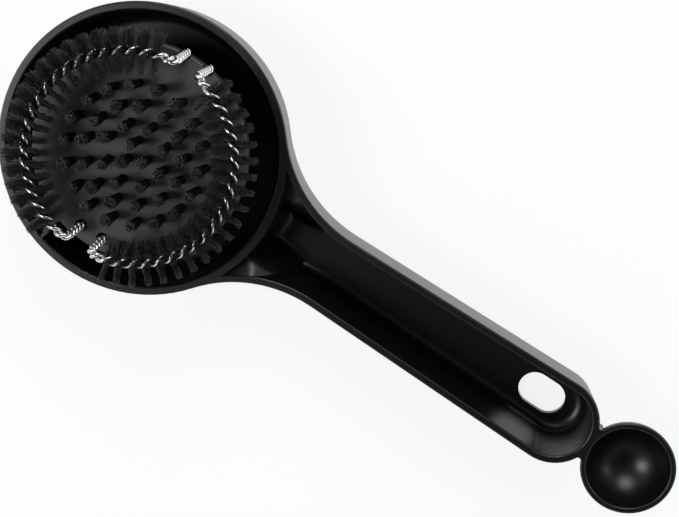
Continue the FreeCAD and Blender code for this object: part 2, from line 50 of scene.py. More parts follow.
MM = 0.001
UP = Vector((0, 0, 1))

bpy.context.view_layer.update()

# %% [markdown]
# ## Heights that several pieces share
# Lengths are in millimetres, and MM turns them into Blender's metres where a mesh is made. These
# heights repeat the CAD's own, so that each new piece lies where its solid lies.

# %% Shared heights
RIM = 22.0
PLATE_TOP = RIM + 2.8
TUFT_LENGTH = 10.2
TUFT_TIPS = PLATE_TOP + TUFT_LENGTH
print("plate's top at", PLATE_TOP, "mm, tips of the tufts at", TUFT_TIPS, "mm")

# %% [markdown]
# ## Colours and nodes
# A colour is written as six hex digits, the way a screen shows it. Shaders count in linear light,
# so one function turns the digits into linear values. A second one adds a node of any kind, with
# its settings and inputs, so that a tree reads as a list of steps.

# %% Colour and node helpers
def colour(code):
    """A linear RGBA colour from the hex digits of the colour on screen."""
    channels = [int(code[i:i + 2], 16) / 255 for i in (0, 2, 4)]
    linear = [c / 12.92 if c <= 0.04045 else ((c + 0.055) / 1.055) ** 2.4 for c in channels]
    return (*linear, 1)


def add(tree, kind, inputs=None, **settings):
    """A node with its settings. An input takes a value, a socket, or a node's first output."""
    node = tree.nodes.new(kind)
    for name, value in settings.items():
        setattr(node, name, value)
    for key, value in (inputs or {}).items():
        socket = node.inputs[key]
        if isinstance(key, str) and not socket.enabled:
            socket = next(s for s in node.inputs if s.name == key and s.enabled)
        if isinstance(value, bpy.types.Node):
            value = next(s for s in value.outputs if s.enabled)
        if isinstance(value, bpy.types.NodeSocket):
            tree.links.new(value, socket)
        else:
            socket.default_value = value
    return node


print("linear value of hex 80:", round(colour("808080")[0], 3))

# %% [markdown]
# ## Materials
# The photograph doesn't say what the pieces are made of. The plastics and metals here are guessed
# from how they look and from what such tools are made of. Patterns read Object coordinates, so
# they stay on the piece from every side, and their widths are in millimetres. One helper adds
# fine bumps, and another lets the colour go from one tone to another.

# %% Patterns on a material
def new_material(name, **values):
    """A material whose one shader takes plain values; returns it with its tree and shader."""
    material = bpy.data.materials.new(name)
    material.use_nodes = True
    tree = material.node_tree
    shader = tree.nodes["Principled BSDF"]
    for key, value in values.items():
        shader.inputs[key.replace("_", " ")].default_value = value
    return material, tree, shader


def grain(tree, shader, width, depth):
    """Fine bumps all over a surface, with a grain's width and depth in millimetres."""
    place = add(tree, "ShaderNodeTexCoord").outputs["Object"]
    noise = add(tree, "ShaderNodeTexNoise", {
        "Vector": place, "Scale": 1 / (width * MM), "Detail": 2.0})
    bump = add(tree, "ShaderNodeBump", {
        "Height": noise, "Distance": depth * MM, "Strength": 0.5})
    tree.links.new(bump.outputs["Normal"], shader.inputs["Normal"])


def two_tones(tree, shader, value, low, high, first, second):
    """A colour that goes from the first tone to the second as a value goes from low to high."""
    share = add(tree, "ShaderNodeMapRange", {"Value": value, "From Min": low, "From Max": high})
    mix = add(tree, "ShaderNodeMix", {
        "Factor": share, "A": colour(first), "B": colour(second)}, data_type="RGBA")
    tree.links.new(mix.outputs[2], shader.inputs["Base Color"])


# %% [markdown]
# ### Moulded plastic
# The cup with its handle and the brush plate are black mouldings with a satin surface. A picture
# of such a surface could be laid on, but plain values and a fine grain are enough, because black
# plastic shows mostly what it reflects.

# %% Moulded plastic
# The grain of a mould is usually about 0.1 mm wide. It is drawn much coarser, so that it shows.
MOULD_GRAIN = 0.9
MOULD_GRAIN_DEPTH = 0.02

# Satin black ABS gives the eye deep black with soft, blurred lights.
moulded_abs, tree, shader = new_material(
    "moulded ABS", Base_Color=colour("080809"), Roughness=0.34, Specular_IOR_Level=0.5)
grain(tree, shader, MOULD_GRAIN, MOULD_GRAIN_DEPTH)

# The plate looks greyer and duller between its tufts, which sets them off against it.
plate_abs, tree, shader = new_material(
    "plate ABS", Base_Color=colour("343435"), Roughness=0.45, Specular_IOR_Level=0.5)
grain(tree, shader, MOULD_GRAIN, MOULD_GRAIN_DEPTH)
print("plastics:", moulded_abs.name, "and", plate_abs.name)

# %% [markdown]
# ### Nylon
# The bristles and tufts are black filaments, and nylon is drawn smooth. The filaments are real
# geometry, so the light between them needs no pattern. The patterns paint light into the colour:
# grey flecks on the ring that are partly random tone and partly painted glints, and tips of the
# tufts painted paler, partly for their cut ends and partly as painted glints.

# %% Nylon
# The flecks are as wide as several filaments together, and they are guessed.
FLECK_AND_GLINT_WIDTH = 0.8
PALE_TIP_AND_GLINT = 0.9

# A smooth filament carries a thin line of light. The flecks are partly random tone and partly
# painted glints, grey spots of light that keep the ring from one even black.
nylon, tree, shader = new_material(
    "nylon filament", Roughness=0.38, Specular_IOR_Level=0.5)
place = add(tree, "ShaderNodeTexCoord").outputs["Object"]
flecks_and_painted_glints = add(tree, "ShaderNodeTexNoise", {
    "Vector": place, "Scale": 1 / (FLECK_AND_GLINT_WIDTH * MM), "Detail": 3.0})
two_tones(tree, shader, flecks_and_painted_glints, 0.45, 0.7, "0a0a0b", "3c3c3e")

# The tips of the tufts are painted paler, so they stand out one by one: partly the whitish cut
# ends, partly a painted glint where the tips catch the light.
tuft_nylon_cut_ends_and_glint, tree, shader = new_material(
    "nylon tuft", Roughness=0.38, Specular_IOR_Level=0.5)
place = add(tree, "ShaderNodeTexCoord").outputs["Object"]
height = add(tree, "ShaderNodeSeparateXYZ", {0: place}).outputs["Z"]
two_tones(tree, shader, height, (TUFT_TIPS - PALE_TIP_AND_GLINT) * MM, TUFT_TIPS * MM, "0c0c0d", "5a5a5c")
print("nylons:", nylon.name, "and", tuft_nylon_cut_ends_and_glint.name)

# %% [markdown]
# ### Metals
# The wires are bright, and the staples sit out of sight at the bottom of the tufts' holes. A metal
# is all reflection, so its roughness matters more than its colour. A low one keeps the wires'
# reflections sharp.

# %% Metals
# The marks are drawn coarser than the fine lines that a die leaves along a wire.
DRAWING_MARKS = 0.5
STAPLE_MARKS = 0.3
MARK_DEPTH = 0.01

# Bright zinc mirrors both the lamps and the dark overhead, which gives dashes with dark gaps.
galvanised, tree, shader = new_material(
    "galvanised wire", Base_Color=colour("d6d6d4"), Metallic=1.0, Roughness=0.2)
grain(tree, shader, DRAWING_MARKS, MARK_DEPTH)

# Brass would give a warm yellow, if a staple were ever laid bare.
staple_brass, tree, shader = new_material(
    "brass staple", Base_Color=colour("b59a55"), Metallic=1.0, Roughness=0.35)
grain(tree, shader, STAPLE_MARKS, MARK_DEPTH)
print("metals:", galvanised.name, "and", staple_brass.name)

# %% [markdown]
# ## Pieces that keep the CAD's shape
# The cup with its handle and scoop, the brush plate and the staples are rigid, and their CAD
# meshes are smooth enough for the eye. Only their material slots change.

# %% Pieces from the CAD
for node, material in (("body", moulded_abs), ("brush_plate", plate_abs),
                       ("tuft_staples", staple_brass)):
    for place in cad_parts[node].material_slots:
        place.material = material
    print(node, "takes", material.name)

# %% [markdown]
# ## The scooped corners of the neck
# Where the handle's walls flare out to meet the cup, the real neck is scooped like a spoon. Its
# corners slope in from the rim and fade into the trough, and they catch the lamps. The CAD's
# trough is plainer there, and a CAD mesh is never changed, so two small skins lie in its corners.
#
# A skin like this could be sculpted, but a rule for its height is easier to change. Rays run
# inward from the flared wall. Along each ray the skin comes down behind the wall's face, follows
# the slope near the corner, and dives under the trough's floor away from it. The slope is guessed
# from two highlights in the photograph.

# %% Outline of the flared wall
# The radii and the wall repeat the CAD's own, so that the skin follows its trough.
CUP_RADIUS = 43.5
FLARE_RADIUS = 40.0
NECK_HALF_WIDTH = 11.7
WALL = 2.3
NECK_END = 58.0
RAYS = 50
RAYS_IN_CUP_WALL = 2


def turned(radius, angle):
    """A point at a radius, turned about the upright axis by an angle in degrees."""
    return Vector((radius * math.cos(math.radians(angle)),
                   radius * math.sin(math.radians(angle)), 0))


def flared_wall():
    """The trough's corner, and points along the wall's inner face with their way inward."""
    flare_y = NECK_HALF_WIDTH + FLARE_RADIUS
    flare_x = math.sqrt((CUP_RADIUS + FLARE_RADIUS) ** 2 - flare_y ** 2)
    flare = FLARE_RADIUS + WALL
    middle = Vector((flare_x, flare_y, 0))
    on_line = (middle.length ** 2 + CUP_RADIUS ** 2 - flare ** 2) / (2 * middle.length)
    corner_angle = math.atan2(flare_y, flare_x) - math.acos(on_line / CUP_RADIUS)
    corner = turned(CUP_RADIUS, math.degrees(corner_angle))
    first = math.degrees(math.atan2(corner.y - flare_y, corner.x - flare_x))
    last = -math.degrees(math.acos((NECK_END - flare_x) / flare))
    spokes = [turned(1, first + (last - first) * i / RAYS)
              for i in range(-RAYS_IN_CUP_WALL, RAYS + 1)]
    return corner, [(middle + flare * spoke, spoke) for spoke in spokes]


neck_corner, neck_wall = flared_wall()
print("the trough's corner is at", [round(side, 1) for side in neck_corner.xy], "mm")

# %% Height of the scooped slope
FLOOR = 2.6
WALL_DRAFT = math.tan(math.radians(6))
BEHIND_FACE = 0.3
SCOOP_TOP = RIM + 2.0
SCOOP_SLOPE = 0.66
SCOOP_NEAR, SCOOP_FAR = 8.0, 30.0
SCOOP_MIDDLE, SCOOP_SIDE = 1.0, 11.0
SCOOP_UNDER = 2.4
SCOOP_BLEND = 1.3
BLEND_DELAY = 2


def eased(value, low, high):
    """A smooth step from 0 to 1 between two values."""
    t = min(max((value - low) / (high - low), 0), 1)
    return t * t * (3 - 2 * t)


def scoop_height(inset, from_corner, y):
    """The skin's height at a distance in from the wall, one from the corner and one sideways."""
    behind_wall = RIM - BEHIND_FACE - (inset + BEHIND_FACE) / WALL_DRAFT
    share = (1 - eased(from_corner, SCOOP_NEAR, SCOOP_FAR)) * eased(y, SCOOP_MIDDLE, SCOOP_SIDE)
    rise = (SCOOP_TOP - SCOOP_SLOPE * inset - SCOOP_UNDER) * share
    lifted = math.log(1 + math.exp(rise / SCOOP_BLEND - BLEND_DELAY))
    return max(SCOOP_UNDER + SCOOP_BLEND * lifted, behind_wall)


print("the scoop starts", round(RIM - scoop_height(0, 0, SCOOP_SIDE), 1), "mm below the rim")

# %% Skins in the neck's corners
near_wall = [0.15 * i - BEHIND_FACE for i in range(16)]
further_in = [2.5 + 0.45 * i for i in range(30)]
insets = near_wall + further_in
verts, faces = [], []


def ray_points(start, inward):
    """Points along one ray, held back inside the cup's wall and at the handle's middle."""
    along = start.dot(inward)
    inside = along ** 2 - start.length_squared + (CUP_RADIUS - WALL / 2) ** 2
    reach = -along - math.sqrt(inside) if inside > 0 else insets[-1]
    for inset in insets:
        held = min(inset, max(reach, 0), -start.y / inward.y)
        spot = start + held * inward
        yield spot.x, spot.y, scoop_height(held, (spot - neck_corner).length, spot.y)


for side_sign in (1, -1):
    grid = []
    for start, inward in neck_wall:
        first_index = len(verts)
        verts += [(x * MM, side_sign * y * MM, z * MM) for x, y, z in ray_points(start, inward)]
        grid.append(range(first_index, len(verts)))
    for here, there in zip(grid, grid[1:]):
        for k in range(len(insets) - 1):
            face = (here[k], there[k], there[k + 1], here[k + 1])
            if max(verts[v][2] for v in face) > FLOOR * MM:
                faces.append(face[::-side_sign])

# %% Skins as one mesh
mesh = bpy.data.meshes.new("neck_scoops")
mesh.from_pydata(verts, [], faces)
mesh.materials.append(moulded_abs)
# Points that were held back share a place, so they are merged, and unused ones go.
joined = bmesh.new()
joined.from_mesh(mesh)
bmesh.ops.remove_doubles(joined, verts=joined.verts, dist=0.001 * MM)
loose = [v for v in joined.verts if not v.link_faces]
bmesh.ops.delete(joined, geom=loose, context="VERTS")
joined.to_mesh(mesh)
joined.free()
mesh.polygons.foreach_set("use_smooth", [True] * len(mesh.polygons))
skin = bpy.data.objects.new("neck_scoops", mesh)
bpy.context.scene.collection.objects.link(skin)
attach(skin, "root")
print("the neck's skins have", len(mesh.polygons), "faces")

# %% [markdown]
# ## Geometry that repeats
# Wires, bristles and tufts repeat one small shape along a path or in a pattern. Each kind is a
# geometry tree with named inputs, made once and run on a simple mesh of points or lines. The
# tree ends in real geometry, because the export drops instances, and the result becomes a plain
# mesh that a CAD node gives way to.

# %% Start and end of a geometry tree
def new_tree(name, **inputs):
    """An empty geometry tree with a geometry input and named number or material inputs."""
    tree = bpy.data.node_groups.new(name, "GeometryNodeTree")
    tree.interface.new_socket("Geometry", in_out="INPUT", socket_type="NodeSocketGeometry")
    for key, kind in inputs.items():
        tree.interface.new_socket(key.replace("_", " "), in_out="INPUT",
                                  socket_type="NodeSocket" + kind)
    tree.interface.new_socket("Geometry", in_out="OUTPUT", socket_type="NodeSocketGeometry")
    return tree, add(tree, "NodeGroupInput").outputs


def finish_tree(tree, geometry, material):
    """The end of every tree: real geometry, its material, and the way out."""
    real = add(tree, "GeometryNodeRealizeInstances", {"Geometry": geometry})
    smooth = add(tree, "GeometryNodeSetShadeSmooth", {"Geometry": real})
    painted = add(tree, "GeometryNodeSetMaterial", {"Geometry": smooth, "Material": material})
    add(tree, "NodeGroupOutput", {"Geometry": painted})
    print("the tree", tree.name, "has", len(tree.nodes), "nodes")


# %% From a tree to a piece
def points_mesh(name, points, lines=(), **attributes):
    """A mesh of points, and lines between them, with a value or a vector at each point."""
    mesh = bpy.data.meshes.new(name)
    mesh.from_pydata([tuple(point) for point in points], list(lines), [])
    for key, values in attributes.items():
        if isinstance(values[0], Vector):
            layer = mesh.attributes.new(key, "FLOAT_VECTOR", "POINT")
            layer.data.foreach_set("vector", [side for value in values for side in value])
        else:
            layer = mesh.attributes.new(key, "FLOAT", "POINT")
            layer.data.foreach_set("value", values)
    return mesh


def run_tree(name, seed_mesh, tree, **values):
    """A plain mesh object from a tree run on a mesh of points or lines."""
    source = bpy.data.objects.new(name + "_source", seed_mesh)
    bpy.context.scene.collection.objects.link(source)
    modifier = source.modifiers.new("shape", "NODES")
    modifier.node_group = tree
    for item in tree.interface.items_tree:
        key = item.name.replace(" ", "_")
        if item.in_out == "INPUT" and key in values:
            modifier[item.identifier] = values[key]
    bpy.context.view_layer.update()
    graph = bpy.context.evaluated_depsgraph_get()
    mesh = bpy.data.meshes.new_from_object(source.evaluated_get(graph), depsgraph=graph)
    bpy.data.objects.remove(source)
    mesh.name = name
    piece = bpy.data.objects.new(name, mesh)
    bpy.context.scene.collection.objects.link(piece)
    print(name, "has", len(mesh.polygons), "faces")
    return piece


def stands_for(piece, node):
    """The piece takes the place of a CAD node."""
    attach(piece, "root")
    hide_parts(node)


# %% [markdown]
# ## The path of a half ring
# On the real tool two wires are twisted together and bent into half a ring. Their middle line
# comes up out of the plate, bends over, runs half round the plate and goes down again. A curve
# could be drawn by hand for it, but here the line is worked out from the CAD's sizes. At every
# point it also knows its way along, which side is outward and how far the wires have turned, so
# that the strands and the bristles turn together. The wires turn like a left-hand screw, as the
# photograph shows. The CAD's strands turn the other way.

# %% Sizes of the half rings
RING_RADIUS = 30.6
RING_HEIGHT = RIM + 14.0
LEG_BEND = 3.0
LEG_FOOT = PLATE_TOP - 3.0
LEAN_OUT, LEAN_IN = 6.0, -10.0
HALF_RINGS = {
    "left": (101.0, 257.0, LEAN_OUT, LEAN_IN),
    "right": (-76.0, 76.0, LEAN_IN, LEAN_OUT),
}
TWIST_PITCH = 8.0
LEG_PITCH = 4.6
PATH_STEP = 0.35


# %% Path of a half ring
class HalfRing:
    """The middle line of one half ring, measured along its length in millimetres."""

    def __init__(self, start, stop, lean_start, lean_stop):
        self.ends = (start, stop)
        self.leans = (lean_start, lean_stop)
        self.legs = [(RING_HEIGHT - LEG_FOOT) / math.cos(math.radians(lean)) - LEG_BEND
                     for lean in self.leans]
        self.quarter = LEG_BEND * math.pi / 2
        self.arc = RING_RADIUS * math.radians(stop - start)
        self.length = sum(self.legs) + 2 * self.quarter + self.arc

    def at(self, s):
        """The point, the way along, the outward side and the twist's lean, in millimetres."""
        past = s - self.legs[0] - self.quarter
        if 0 <= past <= self.arc:
            angle = self.ends[0] + math.degrees(past / RING_RADIUS)
            point = turned(RING_RADIUS, angle) + RING_HEIGHT * UP
            return point, turned(1, angle + 90), turned(1, angle), 0
        which = 0 if past < 0 else 1
        turn = 1 if which else -1
        beyond = past - self.arc if which else -past
        angle, lean = self.ends[which], math.radians(self.leans[which])
        ahead, out = turned(turn, angle + 90), turned(1, angle)
        down = out * math.sin(lean) - UP * math.cos(lean)
        side = out * math.cos(lean) + UP * math.sin(lean)
        bent = min(beyond / LEG_BEND, math.pi / 2)
        point = turned(RING_RADIUS, angle) + RING_HEIGHT * UP
        point += LEG_BEND * (ahead * math.sin(bent) + down * (1 - math.cos(bent)))
        point += down * max(0, beyond - self.quarter)
        way = (ahead * math.cos(bent) + down * math.sin(bent)) * turn
        return point, way, side, lean

    def twist(self, s):
        """How far the strands have turned: a left-hand screw, tighter on the bare legs."""
        before = max(0, self.legs[0] + self.quarter - s)
        after = max(0, s - self.legs[0] - self.quarter - self.arc)
        extra = (before - after) * (1 / LEG_PITCH - 1 / TWIST_PITCH)
        return 2 * math.pi * (extra - s / TWIST_PITCH)

    def line(self, first, last):
        """The stretch between two distances as a line of points that carry their frame."""
        count = math.ceil((last - first) / PATH_STEP)
        frames = []
        for i in range(count + 1):
            s = first + (last - first) * i / count
            point, way, side, lean = self.at(s)
            frames.append((point * MM, way, side, self.twist(s) + lean))
        points, ways, sides, twists = zip(*frames)
        return points_mesh("path", points, [(i, i + 1) for i in range(count)],
                           way=ways, side=sides, twist=twists)


rings = {name: HalfRing(*ends) for name, ends in HALF_RINGS.items()}
for name, ring in rings.items():
    print("the", name, "half ring's line is", round(ring.length, 1), "mm long")

# %% [markdown]
# ## The twisted wires
# Each strand winds about the path at half the two wires' distance, like a screw. The tree reads
# the frame at each point, moves the point off the path by the sine and cosine of the twist, and
# draws a round wire along the result. The second strand is the same with the distance negative.

# %% Frame along a path
def path_frame(tree):
    """The way along, the outward side, the one across both, and the twist, at each point."""
    way, side, twist = [
        add(tree, "GeometryNodeInputNamedAttribute", {"Name": name}, data_type=kind)
        for name, kind in (("way", "FLOAT_VECTOR"), ("side", "FLOAT_VECTOR"), ("twist", "FLOAT"))]
    across = add(tree, "ShaderNodeVectorMath", {0: way, 1: side}, operation="CROSS_PRODUCT")
    return way, side, across, twist


# %% Tree of a twisted strand
WIRE_SIDES = 12

strand_tree, given = new_tree("twisted strand", Radius="Float", Off_Axis="Float",
                              Material="Material")
way, side, across, twist = path_frame(strand_tree)
cosine = add(strand_tree, "ShaderNodeMath", {0: twist}, operation="COSINE")
sine = add(strand_tree, "ShaderNodeMath", {0: twist}, operation="SINE")
outward = add(strand_tree, "ShaderNodeVectorMath", {0: side, "Scale": cosine}, operation="SCALE")
sideways = add(strand_tree, "ShaderNodeVectorMath", {0: across, "Scale": sine}, operation="SCALE")
off_axis = add(strand_tree, "ShaderNodeVectorMath", {0: outward, 1: sideways})
offset = add(strand_tree, "ShaderNodeVectorMath", {
    0: off_axis, "Scale": given["Off Axis"]}, operation="SCALE")
curve = add(strand_tree, "GeometryNodeMeshToCurve", {"Mesh": given["Geometry"]})
wound = add(strand_tree, "GeometryNodeSetPosition", {"Geometry": curve, "Offset": offset})
section = add(strand_tree, "GeometryNodeCurvePrimitiveCircle", {
    "Resolution": WIRE_SIDES, "Radius": given["Radius"]})
tube = add(strand_tree, "GeometryNodeCurveToMesh", {
    "Curve": wound, "Profile Curve": section, "Fill Caps": True})
finish_tree(strand_tree, tube, given["Material"])

# %% Wire strands
# The CAD's strands have six sides and a radius of 0.62 mm. These are round and a little thinner.
WIRE_RADIUS = 0.6
STRAND_GAP = 0.48

for name, ring in rings.items():
    for letter, side_sign in (("a", 1), ("b", -1)):
        off = side_sign * (WIRE_RADIUS + STRAND_GAP / 2)
        piece = run_tree(f"{name}_wire_{letter}", ring.line(0, ring.length), strand_tree,
                         Radius=WIRE_RADIUS * MM, Off_Axis=off * MM, Material=galvanised)
        stands_for(piece, f"{name}_strand_{letter}")

# %% [markdown]
# ## The bristles of the half rings
# Brushes of this kind are made by twisting two wires with cut lengths of filament between them,
# and the twist fans these out like a screw's thread. Here every filament starts on the path and
# stands out across the strands, to one side or the other. Instances on points give thousands of them
# from one shape, and a little seeded disorder in direction and length keeps the brush from
# looking combed.

# %% One filament
FILAMENT_BOW = 0.5
FILAMENT_PARTS = 3
FILAMENT_SIDES = 4


def filament(tree, length, radius):
    """One filament along X from the origin, bowed a little to one side, in millimetres."""
    bent = add(tree, "GeometryNodeCurveQuadraticBezier", {
        "Resolution": FILAMENT_PARTS, "Start": (0, 0, 0),
        "Middle": (length * MM / 2, FILAMENT_BOW * MM, 0), "End": (length * MM, 0, 0)})
    section = add(tree, "GeometryNodeCurvePrimitiveCircle", {
        "Resolution": FILAMENT_SIDES, "Radius": radius * MM})
    return add(tree, "GeometryNodeCurveToMesh", {
        "Curve": bent, "Profile Curve": section, "Fill Caps": True})


# %% Tree of the ring bristles, directions
BRISTLE_FAN = 0.26
BRISTLE_SLANT = 0.12
FULL_TURN = 6.283

bristle_tree, given = new_tree("ring bristles", Count="Int", Seed="Int", Material="Material")
way, side, across, twist = path_frame(bristle_tree)


def seeded(low, high, own):
    """A random number for each filament, from the brush's seed and one of its own."""
    seed = add(bristle_tree, "ShaderNodeMath", {0: given["Seed"], 1: own}, operation="ADD")
    return add(bristle_tree, "FunctionNodeRandomValue", {
        "Min": low, "Max": high, "Seed": seed}, data_type="FLOAT")


fan = add(bristle_tree, "ShaderNodeMath", {
    0: twist, 1: seeded(-BRISTLE_FAN, BRISTLE_FAN, 1.0)}, operation="ADD")
either = add(bristle_tree, "ShaderNodeMath", {0: seeded(-1.0, 1.0, 2.0)}, operation="SIGN")
sine = add(bristle_tree, "ShaderNodeMath", {0: fan}, operation="SINE")
minus_sine = add(bristle_tree, "ShaderNodeMath", {0: -1.0, 1: sine}, operation="MULTIPLY")
cosine = add(bristle_tree, "ShaderNodeMath", {0: fan}, operation="COSINE")
out = None
for direction, length in ((side, minus_sine), (across, cosine)):
    signed = add(bristle_tree, "ShaderNodeMath", {0: either, 1: length}, operation="MULTIPLY")
    part = add(bristle_tree, "ShaderNodeVectorMath", {
        0: direction, "Scale": signed}, operation="SCALE")
    out = add(bristle_tree, "ShaderNodeVectorMath", {0: out, 1: part}) if out else part
slant = add(bristle_tree, "ShaderNodeVectorMath", {
    0: way, "Scale": seeded(-BRISTLE_SLANT, BRISTLE_SLANT, 3.0)}, operation="SCALE")
out = add(bristle_tree, "ShaderNodeVectorMath", {0: out, 1: slant})
facing = add(bristle_tree, "FunctionNodeAxesToRotation", {
    "Primary Axis": out, "Secondary Axis": way}, primary_axis="X", secondary_axis="Z")
roll = add(bristle_tree, "ShaderNodeCombineXYZ", {"X": seeded(0.0, FULL_TURN, 4.0)})
spun = add(bristle_tree, "FunctionNodeRotateRotation", {
    "Rotation": facing, "Rotate By": roll}, rotation_space="LOCAL")

# %% Tree of the ring bristles, filaments
BRISTLE_LENGTH = 7.0
BRISTLE_RADIUS = 0.085
BRISTLE_SHORTEST = 0.88

line = add(bristle_tree, "GeometryNodeMeshToCurve", {"Mesh": given["Geometry"]})
spread = add(bristle_tree, "GeometryNodeResampleCurve", {"Curve": line, "Count": given["Count"]})
dots = add(bristle_tree, "GeometryNodeCurveToPoints", {"Curve": spread}, mode="EVALUATED")
placed = add(bristle_tree, "GeometryNodeInstanceOnPoints", {
    "Points": dots, "Instance": filament(bristle_tree, BRISTLE_LENGTH, BRISTLE_RADIUS),
    "Rotation": spun, "Scale": seeded(BRISTLE_SHORTEST, 1.0, 5.0)})
finish_tree(bristle_tree, placed, given["Material"])

# %% Ring bristles
BRISTLE_INSET = 1.8
BRISTLES_EACH = 5000

for number, (name, ring) in enumerate(rings.items()):
    first = ring.legs[0] + ring.quarter + BRISTLE_INSET
    last = ring.length - ring.legs[1] - ring.quarter - BRISTLE_INSET
    piece = run_tree(f"{name}_filaments", ring.line(first, last), bristle_tree,
                     Count=BRISTLES_EACH, Seed=10 * number + 3, Material=nylon)
    stands_for(piece, f"{name}_bristles")

# %% [markdown]
# ## The tufts
# In plates like this each tuft is a bundle of nylon folded over a staple, so it stands close and
# round in its hole and opens towards the tips. One tuft could be copied into every hole, but then
# all would look alike. Here every hole gets its own spiral of roots, like seeds in a sunflower.
# Each root carries one filament that leans outward, each tuft leans its own way, and the tips end
# unevenly.

# %% Tree of the tufts, roots
FILAMENTS_IN_TUFT = 110
GOLDEN_TURN = 2.39996

tuft_tree, given = new_tree("tufts", Filaments="Int", Root_Radius="Float", Tip_Radius="Float",
                            Length="Float", Material="Material")
spots = add(tuft_tree, "GeometryNodePoints", {"Count": given["Filaments"]})
bundles = add(tuft_tree, "GeometryNodeInstanceOnPoints", {
    "Points": given["Geometry"], "Instance": spots})
roots = add(tuft_tree, "GeometryNodeRealizeInstances", {"Geometry": bundles})
index = add(tuft_tree, "GeometryNodeInputIndex")
quotient = add(tuft_tree, "ShaderNodeMath", {0: index, 1: given["Filaments"]}, operation="DIVIDE")
tuft_number = add(tuft_tree, "ShaderNodeMath", {0: quotient}, operation="FLOOR")
in_tuft = add(tuft_tree, "ShaderNodeMath", {0: index, 1: given["Filaments"]}, operation="MODULO")
# The root of the share keeps the spiral equally dense from its middle to its edge.
half_past = add(tuft_tree, "ShaderNodeMath", {0: in_tuft, 1: 0.5}, operation="ADD")
area = add(tuft_tree, "ShaderNodeMath", {0: half_past, 1: given["Filaments"]}, operation="DIVIDE")
share = add(tuft_tree, "ShaderNodeMath", {0: area}, operation="SQRT")
angle = add(tuft_tree, "ShaderNodeMath", {0: in_tuft, 1: GOLDEN_TURN}, operation="MULTIPLY")
turn = add(tuft_tree, "ShaderNodeMath", {0: angle, 1: tuft_number}, operation="ADD")
heading = add(tuft_tree, "ShaderNodeCombineXYZ", {
    "X": add(tuft_tree, "ShaderNodeMath", {0: turn}, operation="COSINE"),
    "Y": add(tuft_tree, "ShaderNodeMath", {0: turn}, operation="SINE")})
root_way = add(tuft_tree, "ShaderNodeMath", {
    0: share, 1: given["Root Radius"]}, operation="MULTIPLY")
root = add(tuft_tree, "ShaderNodeVectorMath", {0: heading, "Scale": root_way}, operation="SCALE")

# %% Tree of the tufts, tips
TIP_SPREAD = (0.8, 1.1)
FILAMENT_JITTER = 0.45
TUFT_LEAN = 0.55


def jitter(reach, seed, **each):
    """A random shift across the tuft, for each filament or for each value of an ID."""
    shifts = [add(tuft_tree, "FunctionNodeRandomValue", {
        "Min": -reach * MM, "Max": reach * MM, "Seed": seed + axis, **each}, data_type="FLOAT")
        for axis in (0, 1)]
    return add(tuft_tree, "ShaderNodeCombineXYZ", {"X": shifts[0], "Y": shifts[1]})


widening = add(tuft_tree, "FunctionNodeRandomValue", {
    "Min": TIP_SPREAD[0], "Max": TIP_SPREAD[1], "Seed": 9, "ID": tuft_number}, data_type="FLOAT")
tip_radius = add(tuft_tree, "ShaderNodeMath", {
    0: given["Tip Radius"], 1: widening}, operation="MULTIPLY")
tip_way = add(tuft_tree, "ShaderNodeMath", {0: share, 1: tip_radius}, operation="MULTIPLY")
tip = add(tuft_tree, "ShaderNodeVectorMath", {0: heading, "Scale": tip_way}, operation="SCALE")
for shift in (add(tuft_tree, "ShaderNodeCombineXYZ", {"Z": given["Length"]}),
              jitter(FILAMENT_JITTER, 5), jitter(TUFT_LEAN, 11, ID=tuft_number)):
    tip = add(tuft_tree, "ShaderNodeVectorMath", {0: tip, 1: shift})

# %% Tree of the tufts, filaments
TUFT_SUNK = 2.0
TUFT_FILAMENT_RADIUS = 0.1

rooted = add(tuft_tree, "GeometryNodeSetPosition", {"Geometry": roots, "Offset": root})
minus_root = add(tuft_tree, "ShaderNodeVectorMath", {0: root, "Scale": -1.0}, operation="SCALE")
lean = add(tuft_tree, "FunctionNodeAxesToRotation", {
    "Primary Axis": add(tuft_tree, "ShaderNodeVectorMath", {0: tip, 1: minus_root}),
    "Secondary Axis": add(tuft_tree, "ShaderNodeVectorMath", {
        0: heading, 1: UP}, operation="CROSS_PRODUCT")},
    primary_axis="X", secondary_axis="Y")
evenness = add(tuft_tree, "FunctionNodeRandomValue", {
    "Min": 0.93, "Max": 0.995, "Seed": 7}, data_type="FLOAT")
tuft = add(tuft_tree, "GeometryNodeInstanceOnPoints", {
    "Points": rooted,
    "Instance": filament(tuft_tree, TUFT_LENGTH + TUFT_SUNK, TUFT_FILAMENT_RADIUS),
    "Rotation": lean, "Scale": evenness})
finish_tree(tuft_tree, tuft, given["Material"])

# %% Tufts
TUFTS_IN_RING = (3, 8, 13, 18)
TUFT_FIRST_RADIUS = 3.6
TUFT_RING_STEP = 5.55
# The CAD's cones measure 1.1 mm at the root and 1.75 mm at the tip. These bundles start 0.1 mm
# further in and open 0.1 mm further out.
TUFT_ROOT_RADIUS = 1.0
TUFT_TIP_RADIUS = 1.85

holes = [turned(TUFT_FIRST_RADIUS + ring * TUFT_RING_STEP, 360 * k / count)
         for ring, count in enumerate(TUFTS_IN_RING) for k in range(count)]
print(len(holes), "tuft holes")
tufts = run_tree(
    "tuft_filaments",
    points_mesh("holes", [(hole + (PLATE_TOP - TUFT_SUNK) * UP) * MM for hole in holes]),
    tuft_tree, Filaments=FILAMENTS_IN_TUFT, Root_Radius=TUFT_ROOT_RADIUS * MM,
    Tip_Radius=TUFT_TIP_RADIUS * MM, Length=(TUFT_LENGTH + TUFT_SUNK) * MM, Material=tuft_nylon_cut_ends_and_glint)
stands_for(tufts, "centre_tufts")

# %% [markdown]
# ## The floor
# In the photograph the tool lies on plain white, and a sheet of paper stands in for it. In
# reflections the paper is wholly white by itself. To the camera it is mostly so, and the rest is
# real shading, which keeps a faint shadow under the tool. More lamps would also whiten it, but
# they would grey the black plastic.

# %% Floor
PAPER_WHITENESS = 0.85
PAPER_REACH = 3


